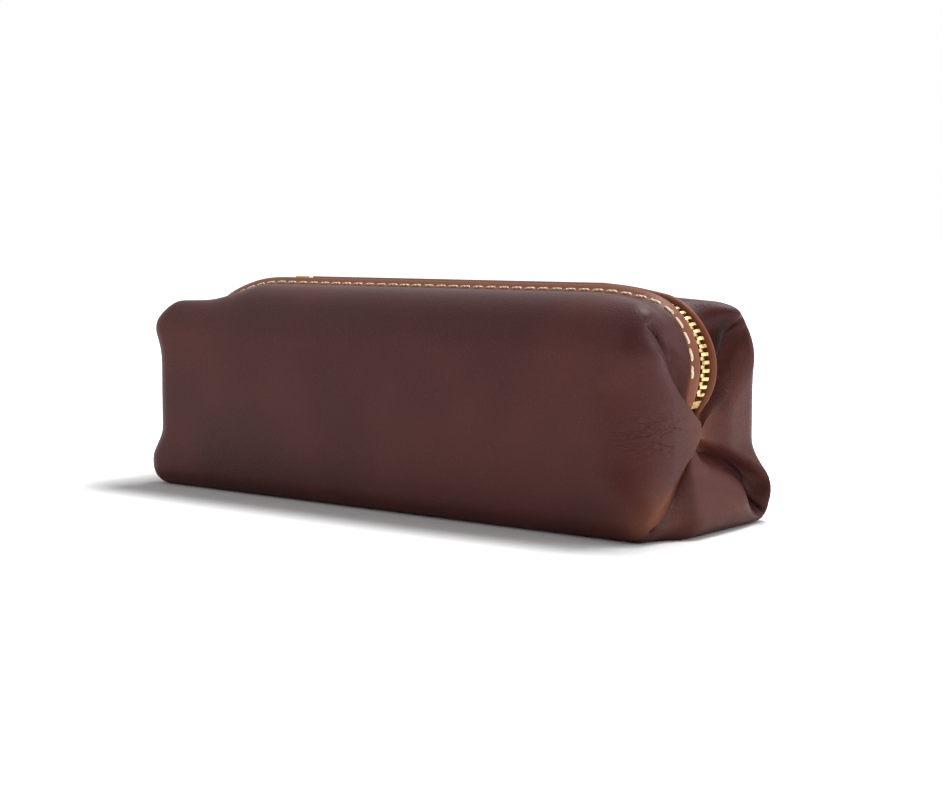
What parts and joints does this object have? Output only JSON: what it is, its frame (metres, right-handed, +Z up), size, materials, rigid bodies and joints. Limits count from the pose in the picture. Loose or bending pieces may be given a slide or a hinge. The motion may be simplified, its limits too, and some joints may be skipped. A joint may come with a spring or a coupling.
{
  "type": "zipped brush case",
  "caption": "Box-shaped leather pouch with pinched ends and a brass zip along its top, for brushes and pencils.",
  "frame": {"origin": "middle of the base, where the case stands", "axes": "+X along the zip, +Y across the case, +Z up"},
  "size_m": [0.203, 0.062, 0.0693],
  "materials": {
    "leather": "oiled pull-up leather",
    "tape": "woven",
    "brass": "polished",
    "thread": "waxed thread"
  },
  "bodies": {
    "case": {"leather_body": "leather", "front_zip_tape": "tape", "rear_zip_tape": "tape", "front_zip_teeth": "brass", "rear_zip_teeth": "brass", "front_top_stop": "brass", "rear_top_stop": "brass", "bottom_stop": "brass", "front_stitching": "thread", "rear_stitching": "thread"},
    "slider": {"slider_body": "brass", "slider_crown": "brass"},
    "pull": {"pull_tab": "brass"}
  },
  "joints": [
    {"name": "slider_slide", "type": "slide", "parent": "case", "child": "slider", "axis": [1, 0, 0], "range_m": [0, 0.122], "deforming": ["front_zip_teeth", "rear_zip_teeth", "front_zip_tape", "rear_zip_tape"]},
    {"name": "pull_hinge", "type": "hinge", "parent": "slider", "child": "pull", "pos_m": [-0.056, 0, 0.0679], "axis": [0, -1, 0], "range_deg": [0, 180]}
  ]
}
